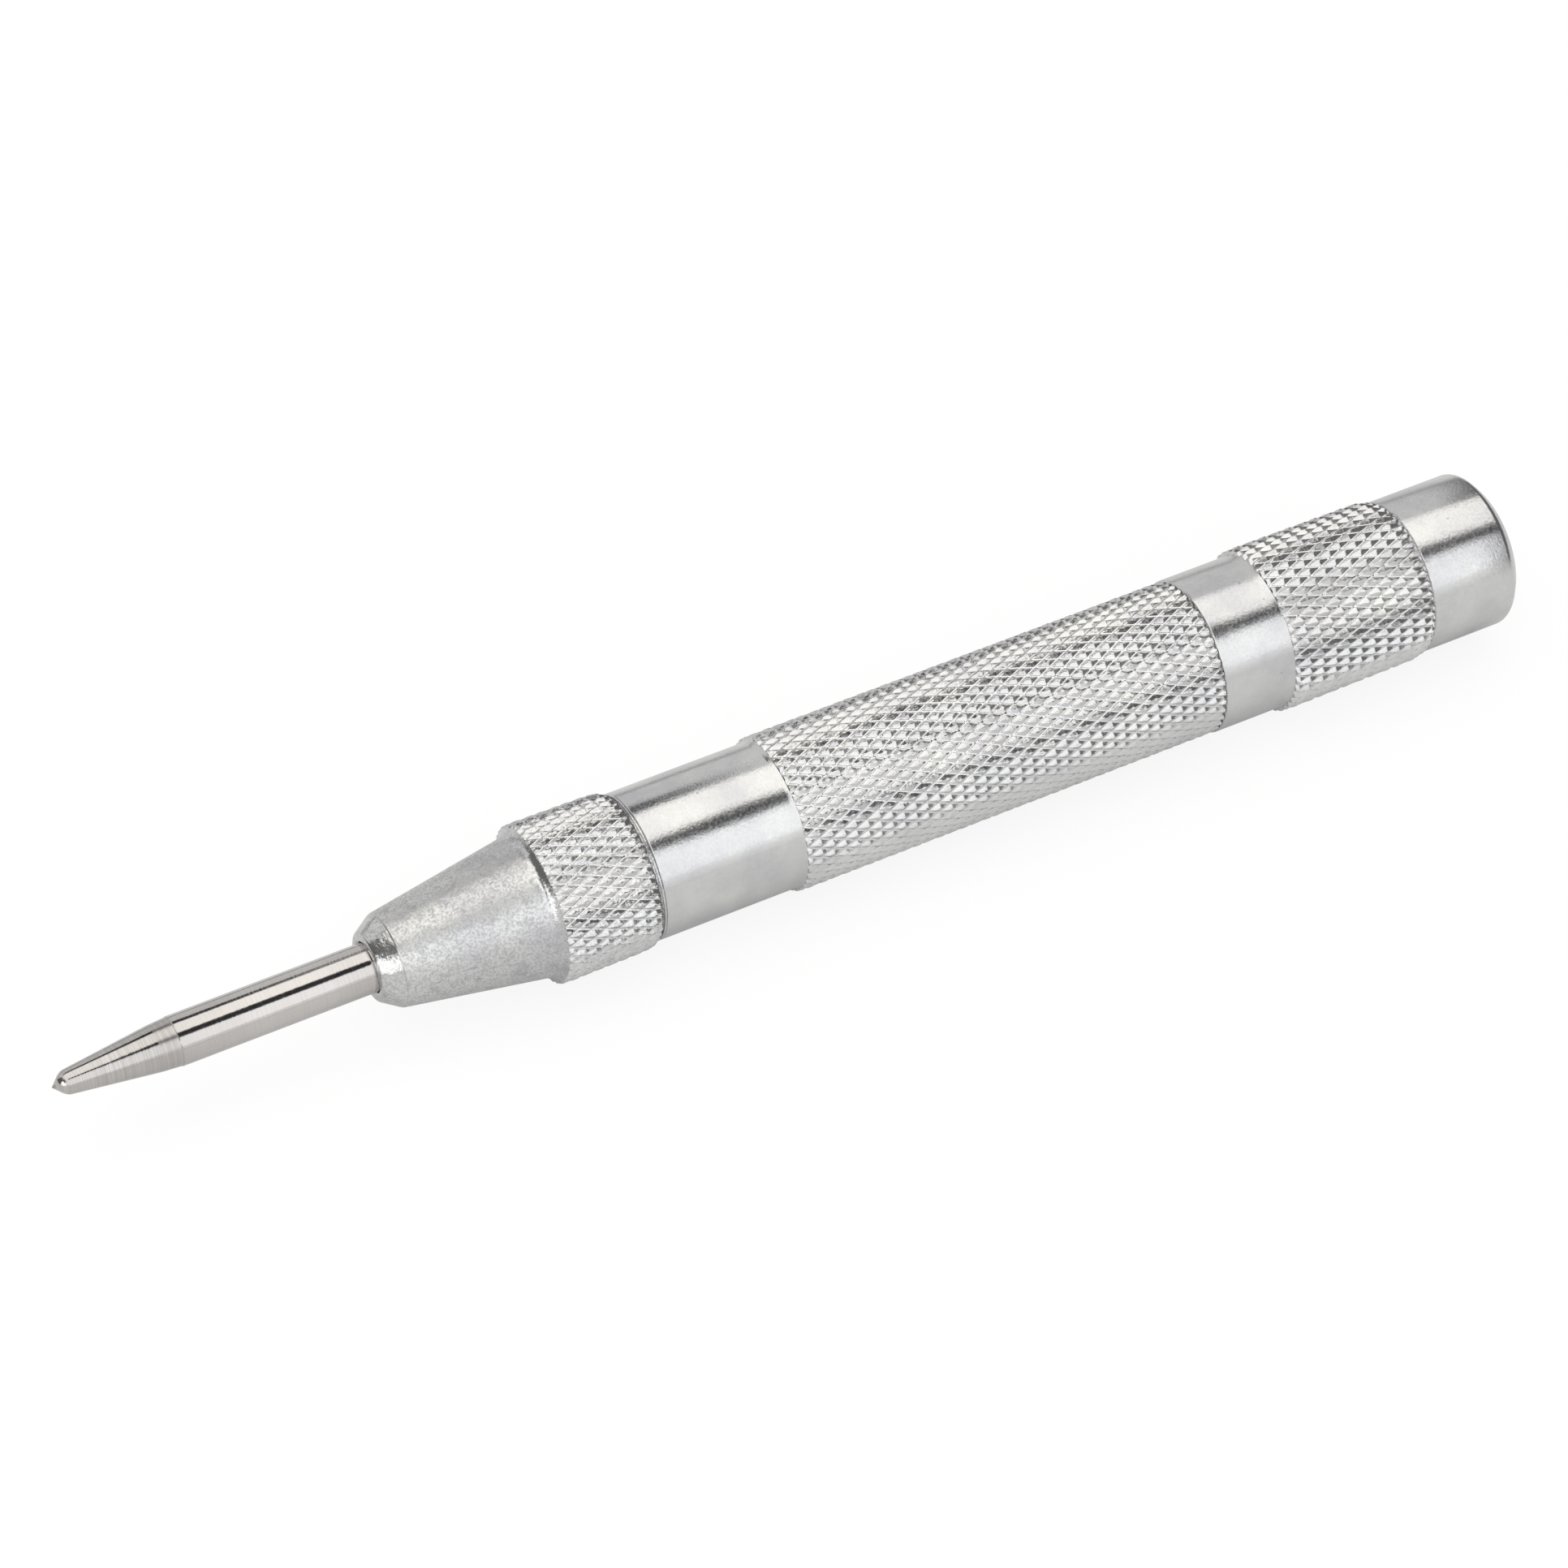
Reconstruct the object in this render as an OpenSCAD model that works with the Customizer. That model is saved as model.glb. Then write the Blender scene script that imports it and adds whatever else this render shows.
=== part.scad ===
// Automatic center punch, adjustable, all steel.
// Every piece is turned about one axis. The sections below give the sizes in the order in which the
// pieces follow each other from the point to the cap. Heights along the axis count from the point.

/* [Punch rod] */
// Diameter of the rod where it slides in the nose
rod_d = 4; // [3.6:0.05:4.4]
// Diameter at the root of the ground point
point_d = 1.9; // [1.2:0.05:2.6]
// Length of the ground point
point_len = 0.95; // [0.6:0.05:1.4]
// Length of the slim taper behind the point
taper_len = 8.95; // [6:0.05:12]
// Step in radius from the taper up to the full rod
taper_step = 0.06; // [0.02:0.01:0.15]
// Length of rod that stands out of the nose at rest
rod_reach = 26.05; // [22:0.05:32]
// Diameter of the head that stops the rod in the nose
rod_head_d = 6; // [5.2:0.1:6.8]
// Thickness of that head
rod_head_len = 2; // [1.2:0.1:3]
// Travel of the rod from rest to release
stroke = 8; // [5:0.1:8.4]

/* [Nose cone] */
// Diameter of the flat front face
nose_face_d = 5.5; // [5:0.05:5.8]
// Diameter where the short bevel ends and the long cone begins
nose_bevel_d = 7.64; // [7:0.05:8.4]
// Length of the short bevel
nose_bevel_len = 1.65; // [1:0.05:2.5]
// Length of the long cone
nose_cone_len = 11.9; // [10:0.1:15]
// Diameter at the thick end of the long cone
nose_cone_d = 11.5; // [10.6:0.1:11.9]
// Length of the hollow step from the cone up to the knurl
nose_step_len = 0.45; // [0.3:0.05:0.8]
// Length of the knurled collar
nose_knurl_len = 8.2; // [6.6:0.1:12]
// Diameter over the crests of the collar's knurl
nose_knurl_d = 13.12; // [12.9:0.02:14]
// Length of the plain lip behind the collar's knurl
nose_lip_len = 0.4; // [0.25:0.05:1]
// Depth from the front face to the shoulder that stops the rod's head
nose_shoulder_depth = 9.95; // [8:0.05:11]
// Diameter of the chamber behind that shoulder
chamber_d = 7.8; // [7.2:0.05:8]
// Length of the threaded spigot that screws into the barrel
nose_spigot_len = 5.85; // [4:0.05:7]

/* [Barrel] */
// Diameter of the smooth band in front of the grip
band_d = 12.06; // [11.8:0.02:12.2]
// Length of the smooth band
band_len = 11.85; // [10:0.05:16]
// Length of the bevel from the band up to the grip's knurl
grip_bevel_len = 0.3; // [0.2:0.05:0.6]
// Length of the knurled grip
grip_len = 37.75; // [32:0.25:50]
// Diameter over the crests of the grip's knurl
grip_d = 12.8; // [12.7:0.02:13.4]
// Outer diameter of the screw threads at both ends of the barrel
thread_d = 10; // [9.6:0.05:10.2]
// Bore in which the hammer slides
hammer_bore_d = 7.1; // [6.9:0.05:7.4]
// Wider bore in which the release latch stands out
latch_bore_d = 8.4; // [8.3:0.05:8.7]
// Length of the taper between the two bores, which pushes the latch in
release_taper_len = 3.9; // [3:0.1:4.2]
// Length of the spigot that the cap screws onto
cap_spigot_len = 16.45; // [12:0.05:18]

/* [Cap] */
// Diameter of the cap's plain skirt and of its plain end
cap_d = 12.9; // [12.6:0.02:13.2]
// Length of the plain skirt
skirt_len = 5.6; // [4:0.1:9]
// Length of the hollow step from the skirt up to the knurl
cap_step_len = 0.65; // [0.4:0.05:1]
// Length of the knurled part
cap_knurl_len = 13.3; // [10:0.1:18]
// Diameter over the crests of the cap's knurl
cap_knurl_d = 13.76; // [13.6:0.02:14.4]
// Length of the plain end
cap_end_len = 7.6; // [5:0.1:10]
// Length of the bevel round the end face
cap_bevel_len = 0.9; // [0.5:0.05:1.4]
// Diameter of the end face inside the bevel
cap_face_d = 10.6; // [9.6:0.1:11.4]
// Height of the end face's shallow crown
cap_crown_h = 0.35; // [0.1:0.05:0.6]
// Thickness of solid steel behind the cap's chamber
cap_wall = 7.8; // [5:0.1:9]

/* [Knurls] */
// Diamonds round the nose collar
nose_knurl_count = 44; // [36:4:52]
// Diamonds round the grip
grip_knurl_count = 42; // [34:2:50]
// Diamonds round the cap
cap_knurl_count = 44; // [36:4:52]
// Length of one diamond along the axis
diamond_len = 2.12; // [1.9:0.02:3]
// Depth of the knurl from crest to valley
knurl_depth = 0.22; // [0.1:0.01:0.26]

/* [Plunger and bush] */
// Diameter of the stem that pushes the hammer back
stem_d = 2.7; // [2.4:0.05:2.8]
// Length of the plunger's collar
collar_len = 4.9; // [3.5:0.1:5.4]
// Thickness of the guide bush
bush_len = 3; // [2:0.1:4]
// Outer diameter of the guide bush
bush_d = 9; // [8.8:0.05:9.2]

/* [Hammer and latch] */
// Length of the hammer's body
hammer_len = 22; // [20:0.1:24]
// Distance from the hammer's front to the latch's axis
latch_setback = 6; // [5.4:0.1:6.4]
// Diameter of the latch
latch_d = 4.3; // [4:0.05:4.5]
// Sideways travel of the latch from rest to release
latch_shift = 0.62; // [0.5:0.01:0.64]
// Distance that is left when the hammer meets the stem
strike_gap = 0.5; // [0.2:0.05:1]
// Length of the pip that holds the main spring on centre
pip_len = 2; // [1:0.1:3]
// Diameter of that pip
pip_d = 4.2; // [3.4:0.05:4.4]

/* [Springs] */
// Wire of the main spring
main_wire_d = 1.1; // [0.8:0.05:1.2]
// Turns of the main spring
main_turns = 14; // [10:1:15]
// Wire of the return spring
return_wire_d = 0.5; // [0.35:0.05:0.6]
// Turns of the return spring
return_turns = 5; // [4:1:6]
// Wire of the latch spring
latch_wire_d = 0.2; // [0.12:0.01:0.22]
// Turns of the latch spring
latch_turns = 3; // [2:1:3]

/* [Spring seat] */
// Diameter of the seat's flange
seat_d = 9.2; // [8.4:0.05:9.4]
// Thickness of the flange
seat_len = 2; // [1.2:0.1:2.6]
// Length of the shank that stands in the barrel's bore
shank_len = 8; // [6:0.1:10]

/* [Hidden] */
$fn = 96;

// Radial clearance of what slides, of the screwed spigots, and of what is only dropped in
slide_gap = 0.07;
screw_gap = 0.06;
drop_gap = 0.02;
// Gap between faces that meet at rest but belong to pieces that move apart
face_gap = 0.05;
// How far a cut runs past the face that it breaks
overrun = 1;
// Edge breaks of the joints between pieces, of the rod's hole and of small turned edges
joint_chamfer = 0.14;
hole_chamfer = 0.12;
small_chamfer = 0.25;
// Rounding between the nose's front face and its bevel
nose_round = 0.35;
// Rounding at the ends of the knurled collars: the drop in radius and the length
front_roll = [0.1, 0.5];
nose_back_roll = [0.32, 1.5];
cap_back_roll = [0.42, 1.5];
// How much a collar's crest falls from its front to its back
collar_fall = 0.1;
// The grip is rounded only slightly
grip_roll = [0.05, 0.4];
// A knurled ring reaches this far into the steel below it, which lies this far below the valleys
ring_bite = 0.25;
core_drop = 0.06;
// It starts this far behind its shoulder and ends this far past the next one
ring_lap = 0.04;
// Height of the shoulder in front of a knurl, as a share of the knurl's depth
shoulder_share = 0.4;
// The diameter at the bottom of a step keeps this share of the step's height as its hollow
hollow_share = 0.6;
// Number of straight runs in a turned arc
arc_runs = 6;
// Sides of a spring's wire, and rings in each turn
wire_sides = 6;
turn_rings = 10;
// Clearance between a spring's turns in its closed ends
turn_gap = 0.05;
// Flat on the front of the latch, as a share of its radius
latch_flat_share = 0.88;
// Wall between the latch's bore and the far side of the hammer, and the latch spring's pocket
latch_stop_wall = 1.1;
latch_pocket_d = 2;
latch_pocket_wall = 0.35;
latch_spring_d = 1.8;

// Heights along the axis
z_face = rod_reach;
z_cone = z_face + nose_bevel_len;
z_step = z_cone + nose_cone_len;
z_collar = z_step + nose_step_len;
z_lip = z_collar + nose_knurl_len;
z_joint = z_lip + nose_lip_len;
z_bevel = z_joint + band_len;
z_grip = z_bevel + grip_bevel_len;
z_grip_end = z_grip + grip_len;
z_cap = z_grip_end + face_gap;
z_cap_step = z_cap + skirt_len;
z_cap_knurl = z_cap_step + cap_step_len;
z_cap_end = z_cap_knurl + cap_knurl_len;
z_cap_bevel = z_cap_end + cap_end_len;
z_cap_face = z_cap_bevel + cap_bevel_len;
total_len = z_cap_face + cap_crown_h;

z_shoulder = z_face + nose_shoulder_depth;
z_spigot_end = z_joint + nose_spigot_len;
z_head = z_shoulder + face_gap;
z_head_end = z_head + rod_head_len;
z_collar_back = z_head_end + face_gap + collar_len;
z_bush = z_spigot_end + face_gap;
z_bush_end = z_bush + bush_len;
z_hammer = z_bush_end + face_gap;
z_latch = z_hammer + latch_setback;
z_stem_end = z_latch - latch_d / 2 * latch_flat_share - face_gap;
z_hammer_end = z_hammer + hammer_len;
z_taper_end = z_latch + stroke - small_chamfer;
z_taper = z_taper_end - release_taper_len;
z_barrel_end = z_grip_end + cap_spigot_len;
z_chamber_end = total_len - cap_wall;
z_seat = z_chamber_end - face_gap - seat_len;
z_shank = z_seat - shank_len;

// Radii that follow from the sizes of the neighbours
hammer_r = hammer_bore_d / 2 - slide_gap;
plunger_r = chamber_d / 2 - slide_gap;
stem_hole_r = stem_d / 2 + slide_gap;
latch_bore_r = latch_d / 2 + slide_gap;
latch_dome_r = hammer_bore_d / 2 - 2 * slide_gap;
spigot_r = thread_d / 2 - screw_gap;
shank_r = hammer_bore_d / 2 - slide_gap;
// The return spring runs half-way between the stem and the chamber's wall, the main spring half-way
// between the pip and the bore
return_coil_r = (stem_d / 2 + chamber_d / 2) / 2;
main_coil_r = (pip_d / 2 + hammer_r) / 2;
y_latch_stop = -hammer_r + latch_stop_wall;
y_latch_back = y_latch_stop + latch_shift + face_gap;
y_pocket = -hammer_r + latch_pocket_wall;
axis_h = cap_knurl_d / 2;

// Points of an arc, from angle a to angle b
function arc(cx, cy, r, a, b) = [for (i = [0:arc_runs])
    [cx + r * cos(a + (b - a) * i / arc_runs), cy + r * sin(a + (b - a) * i / arc_runs)]];

// Crest radius of a knurl at height z above its start, where front and back are [drop, length] pairs
function roll(z, end) = z >= end[1] ? 0 : end[0] * (1 - sqrt(max(0, 1 - pow(1 - z / end[1], 2))));
function crest(z, len, r, fall, front, back) = r - fall * z / len - roll(z, front) - roll(len - z, back);

// Radius of the plain steel below a knurl: just under its lowest valley
function core_r(r, fall, back) = r - max(front_roll[0], fall + back[0]) - knurl_depth - core_drop;

// Radius of the shoulder in front of a knurl
function shoulder_r(r, front) = r - front[0] - knurl_depth * (1 - shoulder_share);

// Height of a spring's wire at a turn: one closed turn at each end, open turns between them
function wire_z(t, turns, wire, len) =
    let (closed = wire + turn_gap, open = (len - wire - 2 * closed) / (turns - 2))
    wire / 2 + (t < 1 ? t * closed : t > turns - 1 ? closed + (turns - 2) * open + (t - turns + 1) * closed
        : closed + (t - 1) * open);

// Lays the axis along X, with the point at -X, on the plane Z = 0
module lay() {
    translate([-total_len / 2, 0, axis_h])
        rotate([0, 90, 0])
            children();
}

// A solid turned from an outline of [radius, height] points
module turned(outline) {
    rotate_extrude()
        polygon(outline);
}

module disc(r, z0, z1) {
    translate([0, 0, z0])
        cylinder(r = r, h = z1 - z0);
}

module cone(r0, r1, z0, z1) {
    translate([0, 0, z0])
        cylinder(r1 = r0, r2 = r1, h = z1 - z0);
}

// A knurled ring: a net of diamond pyramids, whose apexes and valley crossings alternate
module knurl_ring(z0, len, inner_r, r, count, fall, front, back) {
    rows = 2 * round(len / diamond_len);
    cols = 2 * count;
    outer = [for (j = [0:rows], i = [0:cols - 1])
        let (z = len * j / rows,
            rr = crest(z, len, r, fall, front, back) - ((i + j) % 2 == 1 ? 0 : knurl_depth),
            a = 360 * i / cols)
        [rr * cos(a), rr * sin(a), z0 + z]];
    inner = [for (j = [0:1], i = [0:cols - 1])
        let (a = 360 * i / cols)
        [inner_r * cos(a), inner_r * sin(a), z0 + len * j]];
    base = len(outer);
    net = [for (j = [0:rows], i = [0:cols - 1])
        if ((i + j) % 2 == 1)
            let (next = (i + 1) % cols, last = (i + cols - 1) % cols, here = j * cols + i)
            each concat(
                j < rows ? [[here, (j + 1) * cols + i, j * cols + next],
                    [here, j * cols + last, (j + 1) * cols + i]] : [],
                j > 0 ? [[here, j * cols + next, (j - 1) * cols + i],
                    [here, (j - 1) * cols + i, j * cols + last]] : [])];
    sides = [for (i = [0:cols - 1])
        let (next = (i + 1) % cols)
        each [
            [base + i, base + next, base + cols + next],
            [base + i, base + cols + next, base + cols + i],
            [i, next, base + next],
            [i, base + next, base + i],
            [rows * cols + next, rows * cols + i, base + cols + i],
            [rows * cols + next, base + cols + i, base + cols + next]]];
    polyhedron(points = concat(outer, inner), faces = concat(net, sides));
}

// A coil of round wire that stands on height z0
module coil(z0, len, mean_r, wire, turns) {
    rings = turns * turn_rings;
    points = [for (k = [0:rings], s = [0:wire_sides - 1])
        let (t = k / turn_rings,
            a = 360 * t,
            b = 360 * s / wire_sides,
            rr = mean_r + wire / 2 * cos(b))
        [rr * cos(a), rr * sin(a), z0 + wire_z(t, turns, wire, len) + wire / 2 * sin(b)]];
    skin = [for (k = [0:rings - 1], s = [0:wire_sides - 1])
        let (here = k * wire_sides, there = here + wire_sides, next = (s + 1) % wire_sides)
        each [[here + s, here + next, there + next], [here + s, there + next, there + s]]];
    front = [for (s = [1:wire_sides - 2]) [0, s + 1, s]];
    back = [for (s = [1:wire_sides - 2])
        [rings * wire_sides, rings * wire_sides + s, rings * wire_sides + s + 1]];
    polyhedron(points = points, faces = concat(skin, front, back));
}

// Hardened rod: ground point, slim taper, sliding shank and the head that keeps it in the nose
module punch_rod() {
    color("silver")
        lay()
            turned([
                [0, 0],
                [point_d / 2, point_len],
                [rod_d / 2 - taper_step, point_len + taper_len],
                [rod_d / 2, point_len + taper_len + taper_step],
                [rod_d / 2, z_head],
                [rod_head_d / 2 - small_chamfer, z_head],
                [rod_head_d / 2, z_head + small_chamfer],
                [rod_head_d / 2, z_head_end],
                [0, z_head_end]]);
}

// Plunger: a collar that slides in the nose's chamber, and the stem that pushes the hammer back
module plunger() {
    color("gainsboro")
        lay()
            turned([
                [0, z_head_end + face_gap],
                [plunger_r - small_chamfer, z_head_end + face_gap],
                [plunger_r, z_head_end + face_gap + small_chamfer],
                [plunger_r, z_collar_back - small_chamfer],
                [plunger_r - small_chamfer, z_collar_back],
                [stem_d / 2 + small_chamfer, z_collar_back],
                [stem_d / 2, z_collar_back + small_chamfer],
                [stem_d / 2, z_stem_end - small_chamfer],
                [stem_d / 2 - small_chamfer, z_stem_end],
                [0, z_stem_end]]);
}

// Nose: front face, bevel, long cone, knurled collar and the hollow spigot that screws into the barrel
module nose_cone() {
    collar_r = nose_knurl_d / 2;
    under_r = core_r(collar_r, collar_fall, nose_back_roll);
    step_r = shoulder_r(collar_r, front_roll);
    hollow = (step_r - nose_cone_d / 2) * hollow_share;
    color("lightgray")
        lay()
            difference() {
                union() {
                    turned(concat(
                        [[0, z_face], [nose_face_d / 2 - nose_round, z_face]],
                        arc(nose_face_d / 2 - nose_round, z_face + nose_round, nose_round, -90, -30),
                        [[nose_bevel_d / 2, z_cone], [nose_cone_d / 2, z_step]],
                        arc(nose_cone_d / 2 + hollow, z_collar - hollow, hollow, 180, 90),
                        [[step_r, z_collar], [step_r, z_collar + 2 * ring_lap]],
                        [[under_r, z_collar + small_chamfer]],
                        [[under_r, z_lip], [band_d / 2, z_lip]],
                        [[band_d / 2, z_joint - joint_chamfer]],
                        [[band_d / 2 - joint_chamfer, z_joint], [spigot_r, z_joint]],
                        [[spigot_r, z_spigot_end - small_chamfer]],
                        [[spigot_r - small_chamfer, z_spigot_end], [0, z_spigot_end]]));
                    knurl_ring(z_collar + ring_lap, nose_knurl_len, under_r - ring_bite, collar_r,
                        nose_knurl_count, collar_fall, front_roll, nose_back_roll);
                }
                disc(rod_d / 2 + slide_gap, z_face - overrun, z_shoulder + overrun);
                cone(rod_d / 2 + slide_gap + hole_chamfer, rod_d / 2 + slide_gap,
                    z_face, z_face + hole_chamfer);
                disc(chamber_d / 2, z_shoulder, z_spigot_end + overrun);
            }
}

// Bush clamped between the nose's spigot and the barrel: it guides the stem and stops the hammer
module guide_bush() {
    color("darkgray")
        lay()
            difference() {
                disc(bush_d / 2 - drop_gap, z_bush, z_bush_end);
                disc(stem_hole_r, z_bush - overrun, z_bush_end + overrun);
            }
}

// Light spring that pushes the plunger and the rod forward again
module return_spring() {
    color("gray")
        lay()
            coil(z_collar_back + face_gap, z_bush - z_collar_back - 2 * face_gap,
                return_coil_r, return_wire_d, return_turns);
}

// Barrel: smooth band, knurled grip, the spigot for the cap, and the bores for hammer and latch
module barrel() {
    grip_r = grip_d / 2;
    step_r = shoulder_r(grip_r, grip_roll);
    color("lightgray")
        lay()
            difference() {
                union() {
                    turned([
                        [0, z_joint],
                        [band_d / 2 - joint_chamfer, z_joint],
                        [band_d / 2, z_joint + joint_chamfer],
                        [band_d / 2, z_bevel],
                        [step_r, z_grip],
                        [step_r, z_grip + 2 * ring_lap],
                        [spigot_r, z_grip + small_chamfer],
                        [spigot_r, z_barrel_end - small_chamfer],
                        [spigot_r - small_chamfer, z_barrel_end],
                        [0, z_barrel_end]]);
                    knurl_ring(z_grip + ring_lap, grip_len - ring_lap, spigot_r - ring_bite, grip_r,
                        grip_knurl_count, 0, grip_roll, grip_roll);
                }
                disc(thread_d / 2, z_joint - overrun, z_spigot_end + face_gap);
                disc(bush_d / 2, z_joint, z_bush_end);
                disc(latch_bore_d / 2, z_joint, z_taper);
                cone(latch_bore_d / 2, hammer_bore_d / 2, z_taper, z_taper_end);
                disc(hammer_bore_d / 2, z_taper, z_barrel_end + overrun);
            }
}

// Hammer: bored for the stem, cross-bored for the latch, with a pip for the main spring
module hammer() {
    color("dimgray")
        lay()
            difference() {
                turned([
                    [0, z_hammer],
                    [hammer_r - small_chamfer, z_hammer],
                    [hammer_r, z_hammer + small_chamfer],
                    [hammer_r, z_hammer_end - small_chamfer],
                    [hammer_r - small_chamfer, z_hammer_end],
                    [pip_d / 2, z_hammer_end],
                    [pip_d / 2, z_hammer_end + pip_len - small_chamfer],
                    [pip_d / 2 - small_chamfer, z_hammer_end + pip_len],
                    [0, z_hammer_end + pip_len]]);
                disc(stem_hole_r, z_hammer - overrun, z_stem_end + stroke - strike_gap);
                translate([0, y_latch_stop, z_latch])
                    rotate([-90, 0, 0])
                        cylinder(r = latch_bore_r, h = hammer_r - y_latch_stop + overrun);
                translate([0, y_pocket, z_latch])
                    rotate([-90, 0, 0])
                        cylinder(r = latch_pocket_d / 2, h = -y_pocket);
            }
}

// Release latch: a cross pin with a hole, which stands off centre until the barrel's taper moves it
module release_latch() {
    color("silver")
        lay()
            translate([0, latch_shift, z_latch])
                difference() {
                    intersection() {
                        translate([0, y_latch_back - latch_shift, 0])
                            rotate([-90, 0, 0])
                                cylinder(r = latch_d / 2, h = latch_dome_r - y_latch_back + latch_shift);
                        sphere(r = latch_dome_r);
                        translate([-latch_d, -latch_bore_d, -latch_d / 2 * latch_flat_share])
                            cube([2 * latch_d, 2 * latch_bore_d, 2 * latch_d]);
                    }
                    disc(stem_hole_r, -latch_d, latch_d);
                }
}

// Small spring that pushes the latch off centre again
module latch_spring() {
    color("gray")
        lay()
            translate([0, y_pocket + drop_gap, z_latch])
                rotate([-90, 0, 0])
                    coil(0, y_latch_back - y_pocket - 2 * drop_gap,
                        (latch_spring_d - latch_wire_d) / 2, latch_wire_d, latch_turns);
}

// Main spring that drives the hammer
module main_spring() {
    color("gray")
        lay()
            coil(z_hammer_end + face_gap, z_shank - z_hammer_end - 2 * face_gap,
                main_coil_r, main_wire_d, main_turns);
}

// Seat between the main spring and the cap: it follows the cap along the axis but need not turn
module spring_seat() {
    color("darkgray")
        lay()
            turned([
                [0, z_shank - pip_len],
                [pip_d / 2 - small_chamfer, z_shank - pip_len],
                [pip_d / 2, z_shank - pip_len + small_chamfer],
                [pip_d / 2, z_shank],
                [shank_r - small_chamfer, z_shank],
                [shank_r, z_shank + small_chamfer],
                [shank_r, z_seat],
                [seat_d / 2, z_seat],
                [seat_d / 2, z_seat + seat_len - small_chamfer],
                [seat_d / 2 - small_chamfer, z_seat + seat_len],
                [0, z_seat + seat_len]]);
}

// Cap: skirt, knurled part, plain end and crowned face, bored and threaded for the barrel's spigot
module adjusting_cap() {
    knurl_r = cap_knurl_d / 2;
    under_r = core_r(knurl_r, collar_fall, cap_back_roll);
    step_r = shoulder_r(knurl_r, front_roll);
    crown_r = (pow(cap_face_d / 2, 2) + pow(cap_crown_h, 2)) / (2 * cap_crown_h);
    crown_a = asin(cap_face_d / 2 / crown_r);
    color("lightgray")
        lay()
            difference() {
                union() {
                    turned(concat(
                        [[0, z_cap], [cap_d / 2 - joint_chamfer, z_cap]],
                        [[cap_d / 2, z_cap + joint_chamfer], [cap_d / 2, z_cap_step]],
                        [[step_r, z_cap_knurl], [step_r, z_cap_knurl + 2 * ring_lap]],
                        [[under_r, z_cap_knurl + small_chamfer]],
                        [[under_r, z_cap_end], [cap_d / 2, z_cap_end], [cap_d / 2, z_cap_bevel]],
                        arc(0, total_len - crown_r, crown_r, 90 - crown_a, 90)));
                    knurl_ring(z_cap_knurl + ring_lap, cap_knurl_len, under_r - ring_bite, knurl_r,
                        cap_knurl_count, collar_fall, front_roll, cap_back_roll);
                }
                disc(thread_d / 2, z_cap - overrun, z_seat - small_chamfer);
                disc(seat_d / 2 + slide_gap, z_cap, z_chamber_end);
            }
}

punch_rod();
plunger();
nose_cone();
guide_bush();
return_spring();
barrel();
hammer();
release_latch();
latch_spring();
main_spring();
spring_seat();
adjusting_cap();
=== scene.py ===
import math

import bmesh
import bpy
from mathutils import Matrix, Vector, noise


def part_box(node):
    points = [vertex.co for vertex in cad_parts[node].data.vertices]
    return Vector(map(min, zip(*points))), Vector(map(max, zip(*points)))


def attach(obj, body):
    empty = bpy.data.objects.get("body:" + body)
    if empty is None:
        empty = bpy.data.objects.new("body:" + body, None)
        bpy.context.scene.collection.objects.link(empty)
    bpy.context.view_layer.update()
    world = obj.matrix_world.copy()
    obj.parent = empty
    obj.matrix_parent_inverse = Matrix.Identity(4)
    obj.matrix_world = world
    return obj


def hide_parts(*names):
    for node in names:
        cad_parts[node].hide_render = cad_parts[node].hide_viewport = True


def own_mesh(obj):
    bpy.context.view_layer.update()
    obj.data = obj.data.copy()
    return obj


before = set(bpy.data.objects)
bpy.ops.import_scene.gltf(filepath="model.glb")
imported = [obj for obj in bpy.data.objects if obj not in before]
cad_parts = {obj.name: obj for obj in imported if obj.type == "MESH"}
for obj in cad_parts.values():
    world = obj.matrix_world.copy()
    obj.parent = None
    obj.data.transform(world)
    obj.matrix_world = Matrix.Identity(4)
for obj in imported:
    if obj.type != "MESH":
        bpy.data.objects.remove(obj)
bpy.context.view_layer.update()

# Punch rod
# One piece of hardened steel, ground all over: a short point, a slim taper and a 4 mm shank that slides
# in the nose. Its head stays inside. The taper keeps a duller ring from the point's grinding.
MM = 0.001
TIP_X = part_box("punch_rod")[0].x
AXIS_Z = (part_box("punch_rod")[0].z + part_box("punch_rod")[1].z) / 2
taper_end, head_front, rod_end = 9.9, 36.05, 38.05
shank_r, head_r = 2.0, 3.0


def at(z, r):
    """Place in the frame of a point z mm behind the tip and r mm above the axis."""
    return Vector((TIP_X + z * MM, 0, AXIS_Z + r * MM))


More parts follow.
